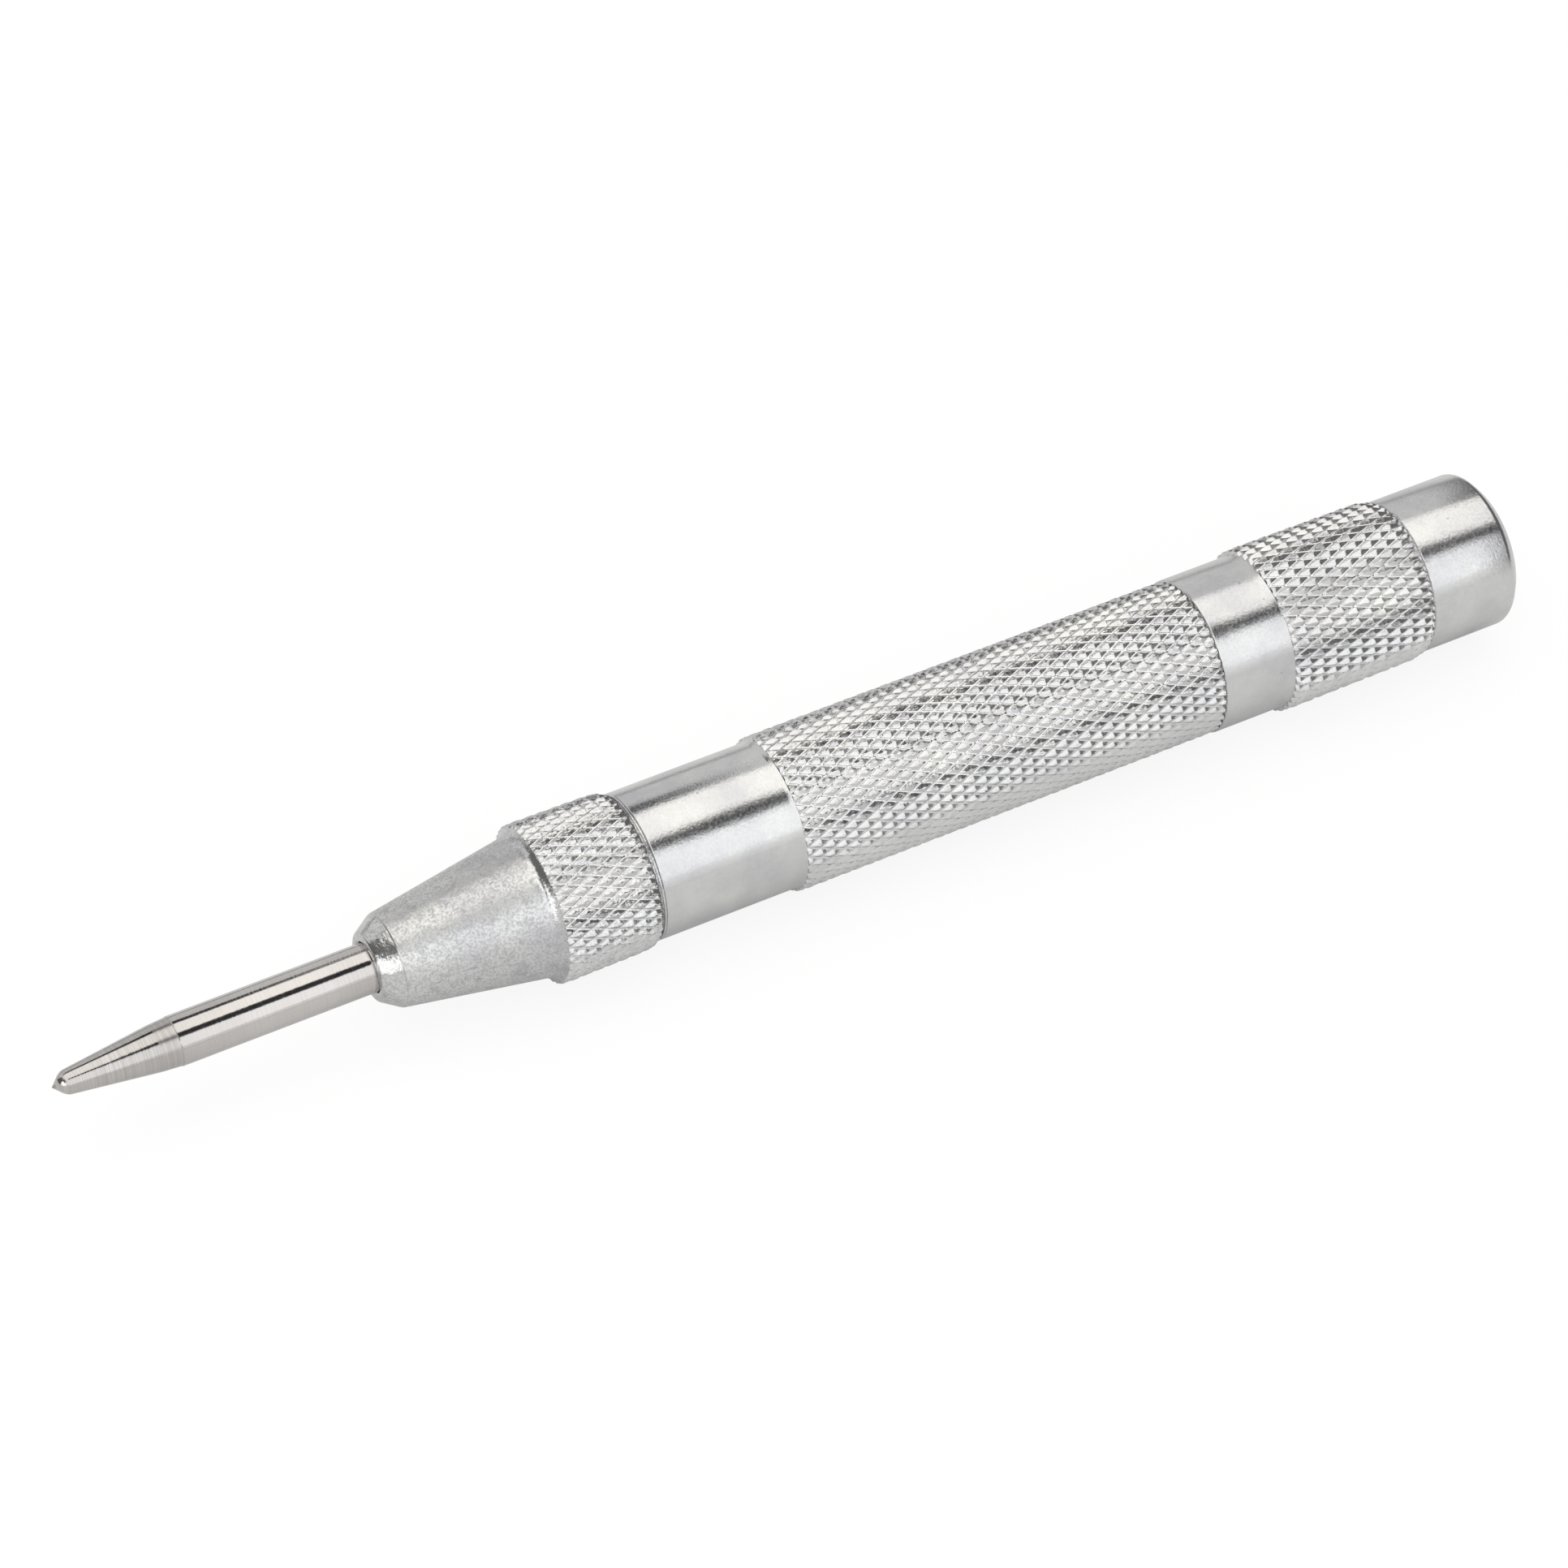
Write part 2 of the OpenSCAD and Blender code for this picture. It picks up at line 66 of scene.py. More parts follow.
def turn(form, outline, slices, slice_steps, closed=False, fine=None):
    """Spins an outline of (z, r) or (z, r, rounding) in mm about the axis, in slices of so many steps.
    fine is (number of a corner, runs): the edge behind that corner is cut into so many short runs."""
    touching = 0.001 * MM
    corners = [form.verts.new(at(point[0], point[1])) for point in outline]
    pairs = list(zip(corners, corners[1:])) + ([(corners[-1], corners[0])] if closed else [])
    edges = [form.edges.new(pair) for pair in pairs]
    if fine:
        corner, runs = fine
        bmesh.ops.subdivide_edges(form, edges=[edges[corner]], cuts=runs - 1)
    rounded = [point for point in outline if len(point) > 2]
    for size in sorted({point[2] for point in rounded}):
        places = [at(point[0], point[1]) for point in rounded if point[2] == size]
        sharp = [v for v in form.verts if any((v.co - place).length < touching for place in places)]
        bmesh.ops.bevel(form, geom=sharp, offset=size * MM, offset_type="OFFSET", segments=3,
                        profile=0.5, affect="VERTICES", material=-1)
    # One slice is spun and the other slices are copies of it, because that is much quicker
    angle = 2 * math.pi / slices
    bmesh.ops.spin(form, geom=form.verts[:] + form.edges[:], axis=(1, 0, 0), cent=(0, 0, AXIS_Z),
                   angle=angle, steps=slice_steps, use_merge=False)
    bmesh.ops.spin(form, geom=form.verts[:] + form.edges[:] + form.faces[:], axis=(1, 0, 0),
                   cent=(0, 0, AXIS_Z), angle=angle * (slices - 1), steps=slices - 1, use_duplicate=True)
    bmesh.ops.remove_doubles(form, verts=form.verts[:], dist=touching)


rod = bmesh.new()
turn(rod, [(0, 0), (0.95, 0.95, 0.3), (8.3, 1.84, 0.1), (taper_end, 1.95), (9.98, shank_r),
           (head_front, shank_r), (head_front, head_r, 0.2), (rod_end, head_r, 0.1), (rod_end, 0)],
     slices=40, slice_steps=4)


def labelled(tree, label):
    """The node of a material that has that label."""
    return next(node for node in tree.nodes if node.label == label)


def source(node, name):
    """What feeds that socket of a node so far."""
    return node.inputs[name].links[0].from_socket


def span(tree, value, start, end, first=0.0, last=1.0):
    """Maps a value that runs from start to end onto first to last, and holds it there beyond them."""
    node = tree.nodes.new("ShaderNodeMapRange")
    for name, number in (("From Min", start), ("From Max", end), ("To Min", first), ("To Max", last)):
        node.inputs[name].default_value = number
    tree.links.new(value, node.inputs["Value"])
    return node.outputs["Result"]


def along_axis(tree, start, end, before, behind):
    """A value that goes from before to behind between two places, in mm behind the tip."""
    parts = tree.nodes.new("ShaderNodeSeparateXYZ")
    tree.links.new(labelled(tree, "place").outputs["Object"], parts.inputs["Vector"])
    return span(tree, parts.outputs["X"], TIP_X + start * MM, TIP_X + end * MM, before, behind)


def levels(tree, value, stops, interpolation="LINEAR"):
    """Turns a value into grey levels. The stops are pairs of a position and the level there."""
    node = tree.nodes.new("ShaderNodeValToRGB")
    node.color_ramp.interpolation = interpolation
    elements = node.color_ramp.elements
    for number, (position, level) in enumerate(stops):
        stop = elements[number] if number < 2 else elements.new(position)
        stop.position = position
        stop.color = (level, level, level, 1)
    tree.links.new(value, node.inputs["Fac"])
    return node.outputs["Color"]


def product(tree, one, other):
    """One value times the other."""
    node = tree.nodes.new("ShaderNodeMath")
    node.operation = "MULTIPLY"
    tree.links.new(one, node.inputs[0])
    tree.links.new(other, node.inputs[1])
    return node.outputs["Value"]


def squeezed(tree, place, scale, turned=(0, 0, 0)):
    """The piece's coordinates turned, and with a scale of their own along each axis."""
    node = tree.nodes.new("ShaderNodeMapping")
    node.inputs["Rotation"].default_value = turned
    node.inputs["Scale"].default_value = scale
    tree.links.new(place, node.inputs["Vector"])
    return node.outputs["Vector"]


def mottle(tree, place, scale, detail, roughness=0.5):
    """Clouds of that scale over the piece, from 0 to 1."""
    node = tree.nodes.new("ShaderNodeTexNoise")
    node.inputs["Scale"].default_value = scale
    node.inputs["Detail"].default_value = detail
    node.inputs["Roughness"].default_value = roughness
    tree.links.new(place, node.inputs["Vector"])
    return node.outputs["Fac"]


def relief(tree, height, distance, strength, under=None):
    """Raises the surface a little where height says, on top of the relief that is under it."""
    node = tree.nodes.new("ShaderNodeBump")
    node.inputs["Distance"].default_value = distance
    node.inputs["Strength"].default_value = strength
    tree.links.new(height, node.inputs["Height"])
    if under is not None:
        tree.links.new(under, node.inputs["Normal"])
    return node.outputs["Normal"]


def lay_over(tree, colour, factor):
    """Lays a colour over the metal's own, where factor says."""
    shader = tree.nodes["Principled BSDF"]
    node = tree.nodes.new("ShaderNodeMix")
    node.data_type = "RGBA"
    node.inputs["B"].default_value = (*colour, 1)
    tree.links.new(factor, node.inputs["Factor"])
    tree.links.new(source(shader, "Base Color"), node.inputs["A"])
    tree.links.new(node.outputs["Result"], shader.inputs["Base Color"])


def steel(name, dark, light, rough, grain, marks, pits=0.0, clouds=60):
    """Bare or plated steel: two tones in clouds of that scale, fine grain, lathe marks round the axis and
    dark pits. rough is how dull it is, grain and marks how deep those are and pits how dark they are."""
    metal = bpy.data.materials.new(name)
    metal.use_nodes = True
    tree = metal.node_tree
    shader = tree.nodes["Principled BSDF"]
    shader.inputs["Metallic"].default_value = 1.0
    coordinates = tree.nodes.new("ShaderNodeTexCoord")
    coordinates.label = "place"
    place = coordinates.outputs["Object"]
    tone = tree.nodes.new("ShaderNodeValToRGB")
    for element, position, colour in zip(tone.color_ramp.elements, (0.36, 0.62), (dark, light)):
        element.position = position
        element.color = (*colour, 1)
    tree.links.new(mottle(tree, place, clouds, 8, 0.62), tone.inputs["Fac"])
    tree.links.new(tone.outputs["Color"], shader.inputs["Base Color"])
    # Roughness follows the grain, so that highlights break up at their edges
    speck = mottle(tree, place, 5200, 3)
    speck.node.label = "fine grain"
    tree.links.new(span(tree, speck, 0.3, 0.7, rough * 0.75, rough * 1.3), shader.inputs["Roughness"])
    # Lathe marks are rings, so their pattern is squeezed along the axis only
    rings = mottle(tree, squeezed(tree, place, (9000, 40, 40)), 1.0, 2)
    ring_relief = relief(tree, rings, 0.00001, marks)
    ring_relief.node.label = "ring marks"
    tree.links.new(relief(tree, speck, 0.00002, grain, ring_relief), shader.inputs["Normal"])
    if pits:
        spots = tree.nodes.new("ShaderNodeTexVoronoi")
        spots.inputs["Scale"].default_value = 420
        tree.links.new(place, spots.inputs["Vector"])
        lay_over(tree, (0.09, 0.09, 0.085), span(tree, spots.outputs["Distance"], 0.03, 0.06, pits, 0.0))
    return metal


rod_steel = steel("ground_rod_steel", (0.535, 0.512, 0.495), (0.63, 0.605, 0.585), 0.1,
                  grain=0.1, marks=0.4)
rod_tree = rod_steel.node_tree
rod_shader = rod_tree.nodes["Principled BSDF"]
# Only the ground taper keeps marks all round; the shank behind it is polished
on_taper = along_axis(rod_tree, taper_end, 10.0, 1.0, 0.3)
ring_marks = labelled(rod_tree, "ring marks")
ring_marks.inputs["Distance"].default_value = 0.000015
rod_tree.links.new(on_taper, ring_marks.inputs["Strength"])
# A ring in front of the shank was only lapped and is duller
near_shank = along_axis(rod_tree, 8.0, 10.5, 0.0, 1.0)
lapped = levels(rod_tree, near_shank, ((0, 0), (0.14, 1), (0.77, 0)), "CONSTANT")
dull = rod_tree.nodes.new("ShaderNodeMix")
dull.inputs["B"].default_value = 0.25
rod_tree.links.new(lapped, dull.inputs["Factor"])
rod_tree.links.new(source(rod_shader, "Roughness"), dull.inputs["A"])
rod_tree.links.new(dull.outputs["Result"], rod_shader.inputs["Roughness"])
# The marks are a little darker than the steel between them, most of all on the taper
darker = span(rod_tree, source(ring_marks, "Height"), 0.35, 0.65, 0.1, 0.5)
lay_over(rod_tree, (0.33, 0.315, 0.3), product(rod_tree, darker, on_taper))


def finished(name, form, body, material, crease=32):
    """Makes the piece: normals outwards, smooth faces, crisp edges where two faces meet at more than
    crease degrees, its material and its body."""
    bmesh.ops.recalc_face_normals(form, faces=form.faces[:])
    for face in form.faces:
        face.smooth = True
    for edge in form.edges:
        edge.smooth = edge.calc_face_angle(0) < math.radians(crease)
    # The lower half of a knurl's grooves stays soft
    pressed = form.verts.layers.float.get("groove")
    for edge in form.edges if pressed else []:
        edge.smooth = edge.smooth or min(v[pressed] for v in edge.verts) > 0.5
    mesh = bpy.data.meshes.new(name)
    form.to_mesh(mesh)
    form.free()
    piece = bpy.data.objects.new(name, mesh)
    bpy.context.collection.objects.link(piece)
    mesh.materials.append(material)
    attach(piece, body)
    return piece


ground_rod = finished("ground_punch_rod", rod, "punch", rod_steel, crease=20)
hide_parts("punch_rod")

# Plunger
# Turned collar and stem behind the rod. The spring pushes on the collar, the stem pushes on the latch.
# Hardened and ground like the rod.


def dress(node, material):
    """Gives a piece that keeps its CAD mesh its own steel."""
    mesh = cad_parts[node].data
    mesh.materials.clear()
    mesh.materials.append(material)


plunger_steel = steel("plunger_steel", (0.42, 0.41, 0.39), (0.54, 0.53, 0.5), 0.2, grain=0.15, marks=0.4)
dress("plunger", plunger_steel)

# Return spring
# Light spring of round drawn wire between the plunger's collar and the bush, one closed turn at each
# end. It shortens as the rod goes in.
bush_front = 54.5
return_length = 11.45


def wind(name, start, length, mean_r, wire, turns, body, material, turn_steps=28):
    """Winds a spring of round wire about the tool's axis: open turns between two closed end turns."""
    form = bmesh.new()
    bmesh.ops.create_circle(form, cap_ends=False, radius=wire / 2 * MM, segments=12)
    centre = at(start + wire / 2, mean_r)
    for v in form.verts:
        v.co = Vector((centre.x + v.co.x, 0, centre.z + v.co.y))
    # A closed turn lies a hair's breadth from the next turn
    closed = wire * 1.06
    lead = (length - wire - 2 * closed) / (turns - 2)
    ends = form.verts[:] + form.edges[:]
    for count, pitch in ((1, closed), (turns - 2, lead), (1, closed)):
        run = bmesh.ops.spin(form, geom=ends, axis=(1, 0, 0), cent=(0, 0, AXIS_Z),
                             dvec=(pitch * MM / turn_steps, 0, 0), angle=2 * math.pi * count,
                             steps=turn_steps * count, use_merge=False)
        ends = run["geom_last"]
    bmesh.ops.holes_fill(form, edges=[edge for edge in form.edges if edge.is_boundary], sides=0)
    return finished(name, form, body, material, crease=40)


wire_steel = steel("spring_wire_steel", (0.2, 0.2, 0.2), (0.34, 0.34, 0.33), 0.3, grain=0.2, marks=0.0)
return_coil = wind("return_spring_coil", bush_front - return_length, return_length, mean_r=2.625,
                   wire=0.5, turns=5, body="housing", material=wire_steel)
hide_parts("return_spring")
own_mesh(return_coil)

# Nose
# Turned steel nose, zinc plated: flat face with the rod's hole, short bevel, long cone, hollow step and
# knurled collar. Its threaded spigot screws into the barrel and leaves a fine joint line.
joint, joint_r = 48.65, 6.03
spigot_r, thread_r = 4.5, 4.94
nose_knurl, nose_blank, nose_diamonds = (40.09, 48.29), 6.3, 44
nose_steps, nose_runs = 12, 46
hollow_step = [(39.5, 5.75), (39.68, 5.87), (39.84, 6.02), (39.96, 6.18), (40.05, nose_blank)]
# The outline runs back over the outside to the spigot's end, and forward again along the bore. Each
# diamond of the knurl gets one slice of steps round the nose, and as many runs along it
nose = bmesh.new()
turn(nose, [(26.05, 2.19, 0.03), (26.05, 2.75, 0.2), (27.62, 3.77), (27.67, 3.75), (27.74, 3.825),
            (39.3, 5.68, 0.1), *hollow_step, (nose_knurl[0], nose_blank), (nose_knurl[1], nose_blank),
            (nose_knurl[1], 5.8), (48.44, 5.8), (48.44, joint_r, 0.03), (joint, joint_r, 0.1),
            (joint, spigot_r), (bush_front, spigot_r, 0.2), (bush_front, 3.9), (36.0, 3.9),
            (36.0, 2.07), (26.17, 2.07)],
     slices=nose_diamonds, slice_steps=nose_steps, closed=True, fine=(11, nose_runs))


def from_axis(place):
    """How far behind the tip, how far from the axis (both in mm) and at what angle a place lies."""
    up, across = place.z - AXIS_Z, place.y
    return (place.x - TIP_X) / MM, math.hypot(up, across) / MM, math.atan2(across, up)


def rolled(radius, fall, ends, front, back):
    """Crest radius of a knurled collar at share t of its length. It falls by fall and is rounded at both
    ends: front and back say how deep that rounding is and how far it reaches."""
    length = ends[1] - ends[0]

    def drop(z, rounding):
        depth, reach = rounding
        return 0 if z >= reach else depth * (1 - math.sqrt(max(0, 1 - (1 - z / reach) ** 2)))

    def crest(t):
        return radius - fall * t - drop(t * length, front) - drop((1 - t) * length, back)
    return crest


def press_knurl(form, ends, blank, count, rows, crest, groove, flat_top, crater, wander):
    """Presses two crossing sets of grooves into the blank of that radius, count diamonds round and rows
    long. crest(t) is the new radius at share t of the length, groove the depth in mm, flat_top the share
    of a diamond that stays, crater how far its middle sinks and wander how uneven it all is."""
    start, end = ends
    depth = form.verts.layers.float.new("groove")
    worn = form.verts.layers.float.new("crown")
    for v in form.verts:
        z, r, angle = from_axis(v.co)
        if z < start - 0.001 or z > end + 0.001 or abs(r - blank) > 0.01:
            continue
        share = (z - start) / (end - start)
        round_way, long_way = count * angle / (2 * math.pi), rows * share
        left, right = round_way + long_way, round_way - long_way
        off = min(abs(left - round(left)), abs(right - round(right)))
        # The noise is zero at whole numbers, so the numbers of the diamonds are scaled
        luck = noise.noise(Vector((math.floor(left) * 0.73, math.floor(right) * 1.37, crest(0))))
        wave = noise.noise(Vector((left * 1.9, right * 1.9, crest(0))))
        wall = (1 - flat_top) / 2
        sink = 1 - min(1, off / wall)
        middle = max(0, (off - wall) / (0.5 - wall))
        drop = groove * (1 + 0.1 * wander * luck) * sink
        drop += crater * (1 + 0.9 * luck) * middle ** 0.7 + wander * 0.012 * (1 - sink) * (1 + wave)
        new_r = crest(share) - drop
        v.co = Vector((v.co.x, math.sin(angle) * new_r * MM, AXIS_Z + math.cos(angle) * new_r * MM))
        v[depth] = 0.1 + 0.9 * sink
        v[worn] = middle * (0.6 + 0.8 * luck + 0.5 * wave)
    # Each face is split along the lower of its two ways, so that no groove is broken into steps
    for face in [f for f in form.faces if len(f.verts) == 4]:
        a, b, c, d = face.verts
        if max(v[depth] for v in face.verts) > 0:
            radius = {v: from_axis(v.co)[1] for v in face.verts}
            level = abs(radius[a] - radius[c]) < abs(radius[b] - radius[d])
            bmesh.utils.face_split(face, *((a, c) if level else (b, d)))


press_knurl(nose, nose_knurl, nose_blank, nose_diamonds, rows=nose_runs / nose_steps,
            crest=rolled(6.55, 0.1, nose_knurl, front=(0.1, 0.5), back=(0.32, 1.5)),
            groove=0.26, flat_top=0.18, crater=0.07, wander=1.0)


def screw(form, start, end, pitch=0.75, turn_steps=60):
    """Raises a screw thread on a spigot between two places, as one ridge that fades out at both ends."""
    half_foot, half_crest, sunk = pitch * 0.44, 0.06, 0.1
    own = bmesh.new()
    ridge = [(start - half_foot, spigot_r - sunk), (start - half_foot, spigot_r),
             (start - half_crest, thread_r), (start + half_crest, thread_r),
             (start + half_foot, spigot_r), (start + half_foot, spigot_r - sunk)]
    loop = [own.verts.new(at(z, r)) for z, r in ridge]
    edges = [own.edges.new((a, b)) for a, b in zip(loop, loop[1:] + loop[:1])]
    turns = (end - start) / pitch
    steps = round(turns * turn_steps)
    bmesh.ops.spin(own, geom=loop + edges, axis=(1, 0, 0), cent=(0, 0, AXIS_Z),
                   dvec=((end - start) * MM / steps, 0, 0), angle=2 * math.pi * turns,
                   steps=steps, use_merge=False)
    for v in own.verts:
        z, r = from_axis(v.co)[:2]
        fade = min(1, max(0, min(z - start + half_foot, end + half_foot - z) / (1.6 * pitch)))
        if r > spigot_r + 0.01:
            lower = spigot_r + (r - spigot_r) * fade
            v.co = Vector((v.co.x, v.co.y * lower / r, AXIS_Z + (v.co.z - AXIS_Z) * lower / r))
    bmesh.ops.holes_fill(own, edges=[edge for edge in own.edges if edge.is_boundary], sides=0)
    thread = bpy.data.meshes.new("thread")
    own.to_mesh(thread)
    own.free()
    form.from_mesh(thread)
    bpy.data.meshes.remove(thread)


screw(nose, 49.3, 54.2)


def recorded(tree, name):
    """A value that the knurling left on the piece's mesh."""
    node = tree.nodes.new("ShaderNodeAttribute")
    node.attribute_name = name
    return node.outputs["Fac"]


def plated(name, rough, ripple=0.1, pale=1.0, scuffs=0.0, lines=1.0):
    """Zinc-plated steel with a knurl. rough is how dull it is, ripple how unevenly the zinc lies, pale how
    light it is, scuffs how dark its streaks are and lines how bright the grooves' bottoms are."""
    dark = [pale * c for c in (0.585, 0.58, 0.595)]
    light = [pale * c for c in (0.70, 0.705, 0.685)]
    metal = steel(name, dark, light, rough, grain=0.35, marks=0.25, pits=0.35, clouds=170)
    tree = metal.node_tree
    shader = tree.nodes["Principled BSDF"]
    place = labelled(tree, "place").outputs["Object"]
    # The zinc lies in faint ripples, which break up what the metal reflects, and is greyer in spots
    waves = mottle(tree, place, 1300, 4)
    rippled = relief(tree, waves, 0.00004, ripple, source(shader, "Normal"))
    tree.links.new(rippled, shader.inputs["Normal"])
    lay_over(tree, [0.72 * c for c in dark], span(tree, waves, 0.5, 0.66, last=0.4 * ripple))
    speck = labelled(tree, "fine grain").outputs["Fac"]
    lay_over(tree, [0.6 * c for c in dark], span(tree, speck, 0.42, 0.6, last=0.45 * ripple))
    # A knurl is lighter all over, its grooves are greyer on their sides and lighter along their
    # bottoms, and the middles of its diamonds stay raw
    groove = recorded(tree, "groove")
    lay_over(tree, (0.86, 0.86, 0.85), span(tree, groove, 0.0, 0.08, last=0.25))
    # Painted shade on the walls of the grooves, partly plating residue
    lay_over(tree, (0.34, 0.34, 0.325), levels(tree, groove, ((0.0, 0.0), (0.35, 0.1), (0.7, 0.0))))
    # Painted highlight along the bottoms of the grooves, partly burnishing
    lay_over(tree, (0.9, 0.9, 0.88), span(tree, groove, 0.86, 1.0, last=lines))
    lay_over(tree, (0.36, 0.36, 0.34), span(tree, recorded(tree, "crown"), 0.3, 1.1, last=0.4))
    if scuffs:
        askew = squeezed(tree, place, (350, 2400, 2400), turned=(0.5, 0.2, 0.5))
        streaks = mottle(tree, askew, 1.0, 9, 0.75)
        lay_over(tree, (0.16, 0.16, 0.16), span(tree, streaks, 0.59, 0.65, last=scuffs))
    return metal


# The bevel in front and the step were turned last and are bright, like the knurl; the cone is dull
nose_steel = plated("plated_nose", 0.42, ripple=1.0, pale=1.05, scuffs=0.5)
nose_tree = nose_steel.node_tree
nose_shader = nose_tree.nodes["Principled BSDF"]
for start, end, before, behind in ((27.66, 27.74, 0.33, 1.0), (39.1, 39.5, 1.0, 0.43)):
    brighter = along_axis(nose_tree, start, end, before, behind)
    smoothed = product(nose_tree, source(nose_shader, "Roughness"), brighter)
    nose_tree.links.new(smoothed, nose_shader.inputs["Roughness"])
knurled_nose = finished("knurled_nose", nose, "housing", nose_steel)
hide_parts("nose_cone")

# Guide bush
# Plain turned steel ring that the nose's spigot clamps in the barrel. The plunger's stem slides through
# it, and the hammer rests against it.
bush_steel = steel("turned_bush_steel", (0.36, 0.36, 0.35), (0.5, 0.5, 0.49), 0.34, grain=0.3, marks=0.7)
dress("guide_bush", bush_steel)

# Barrel
# Turned and plated steel tube: smooth band in front, long diamond-knurled grip, and a screwed spigot at
# the back that shows when the cap is unscrewed.
grip_knurl, grip_blank, grip_diamonds = (60.84, 98.55), 6.2, 43
grip_steps, grip_runs = 10, 180
barrel_end, barrel_bore, front_bore = 115.0, 3.55, 4.2
# The outline runs like the nose's
barrel = bmesh.new()
turn(barrel, [(joint, 5.0, 0.1), (joint, joint_r, 0.14), (60.5, joint_r, 0.05), (60.8, 6.14, 0.03),
              (grip_knurl[0], grip_blank), (grip_knurl[1], grip_blank), (grip_knurl[1], 4.75, 0.1),
              (98.9, spigot_r), (barrel_end, spigot_r, 0.2), (barrel_end, barrel_bore, 0.1),
              (71.35, barrel_bore), (67.45, front_bore), (57.55, front_bore), (57.55, 4.5),
              (54.55, 4.5), (54.55, 5.0)],
     slices=grip_diamonds, slice_steps=grip_steps, closed=True, fine=(4, grip_runs))
press_knurl(barrel, grip_knurl, grip_blank, grip_diamonds, rows=grip_runs / grip_steps,
            crest=rolled(6.4, 0, grip_knurl, front=(0.05, 0.4), back=(0.05, 0.4)),
            groove=0.22, flat_top=0.2, crater=0.04, wander=1.0)
screw(barrel, 99.6, 114.4)
barrel_steel = plated("plated_barrel", 0.19, lines=0.4)
knurled_barrel = finished("knurled_barrel", barrel, "housing", barrel_steel)
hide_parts("barrel")

# Hammer
# Hardened steel striker that slides in the barrel behind the bush. It is bored for the plunger's stem
# and cross-bored for the latch.
hardened = steel("hardened_steel", (0.2, 0.2, 0.205), (0.32, 0.32, 0.325), 0.28, grain=0.25, marks=0.5)
dress("hammer", hardened)

# Release latch
# Small hardened cross pin with a hole. The barrel's taper pushes it on centre, and then it lets the
# stem through.
latch_steel = steel("latch_steel", (0.34, 0.34, 0.34), (0.46, 0.46, 0.46), 0.22, grain=0.2, marks=0.3)
dress("release_latch", latch_steel)

# Latch spring
# Very small coil of drawn wire that lies across the tool, in a pocket of the hammer. It pushes the
# latch off centre again. It is wound about the axis and then laid in its pocket.
latch_at, pocket_y, coil_gap = 63.6, -3.13, 0.02
latch_length, latch_travel = 1.38, 0.62
latch_coil = wind("latch_spring_coil", coil_gap, latch_length, mean_r=0.8, wire=0.2, turns=3,
                  body="hammer", material=wire_steel, turn_steps=24)
in_pocket = Matrix.Translation(at(latch_at, 0) + Vector((0, pocket_y * MM, 0)))
across_tool = Matrix.Rotation(math.pi / 2, 4, "Z")
latch_coil.data.transform(in_pocket @ across_tool @ Matrix.Translation(-at(0, 0)))
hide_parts("latch_spring")
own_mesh(latch_coil)

# Main spring
# Heavy spring of round drawn wire between the hammer and the seat. The hammer shortens it by the whole
# stroke.
seat_front = 109.1
main_length = 29.45
main_coil = wind("main_spring_coil", seat_front - main_length, main_length, mean_r=2.79, wire=1.1,
                 turns=14, body="seat", material=wire_steel, turn_steps=32)
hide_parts("main_spring")
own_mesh(main_coil)

# Spring seat
# Turned steel thrust button between the main spring and the cap. It only lies there, and the cap
# pushes it forward.
seat_steel = steel("turned_seat_steel", (0.38, 0.38, 0.37), (0.52, 0.52, 0.5), 0.32, grain=0.3, marks=0.7)
dress("spring_seat", seat_steel)

# Cap
# Turned and plated steel cap: plain skirt, coarse diamond knurl, plain end and a crowned face for the
# palm. It screws onto the barrel and sets how hard the tool strikes.
cap_knurl, cap_blank, cap_diamonds = (104.89, 118.19), 6.6, 46
cap_steps, cap_runs = 12, 66
cap_r, screw_hole_r, seat_hole_r = 6.45, 5.0, 4.67
face_edge, face_r, face_rise = 126.65, 5.3, 0.35
crowned = [(face_edge + face_rise * (1 - (r / face_r) ** 2), r) for r in (4.4, 3.3, 2.2, 1.1, 0)]
# The outline starts at the bottom of the hole and runs out round the skirt to the middle of the face
cap = bmesh.new()
turn(cap, [(119.2, 0), (119.2, seat_hole_r), (116.9, seat_hole_r), (116.9, screw_hole_r),
           (98.6, screw_hole_r, 0.1), (98.6, cap_r, 0.14), (104.2, cap_r, 0.08), (104.85, 6.5, 0.03),
           (cap_knurl[0], cap_blank), (cap_knurl[1], cap_blank), (cap_knurl[1], 6.3, 0.04),
           (118.27, cap_r, 0.05), (125.75, cap_r, 0.3), (face_edge, face_r, 0.3), *crowned],
     slices=cap_diamonds, slice_steps=cap_steps, fine=(8, cap_runs))
press_knurl(cap, cap_knurl, cap_blank, cap_diamonds, rows=cap_runs / cap_steps,
            crest=rolled(6.87, 0.1, cap_knurl, front=(0.1, 0.5), back=(0.36, 1.5)),
            groove=0.3, flat_top=0.16, crater=0.0, wander=0.7)
knurled_cap = finished("knurled_cap", cap, "cap", plated("plated_cap", 0.21, lines=0.7))
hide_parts("adjusting_cap")

# Floor and backdrop
# Plain white studio floor and room. The white that the camera sees and the little that bare metal
# mirrors come from their own colour, not from the lamps.
floor = bpy.data.objects.new("studio_floor", bpy.data.meshes.new("studio_floor"))
bpy.context.collection.objects.link(floor)
ground = bmesh.new()
bmesh.ops.create_grid(ground, x_segments=1, y_segments=1, size=6)
ground.to_mesh(floor.data)
ground.free()
floor_drop = 0.02
floor.location.z = -floor_drop * MM
white = bpy.data.materials.new("white_floor")
white.use_nodes = True
floor_tree = white.node_tree
paint = floor_tree.nodes["Principled BSDF"]
paint.inputs["Base Color"].default_value = (0.62, 0.62, 0.62, 1)
paint.inputs["Roughness"].default_value = 0.9
glow = floor_tree.nodes.new("ShaderNodeEmission")
glow.inputs["Color"].default_value = (1, 1, 1, 1)
glow.inputs["Strength"].default_value = 1.06
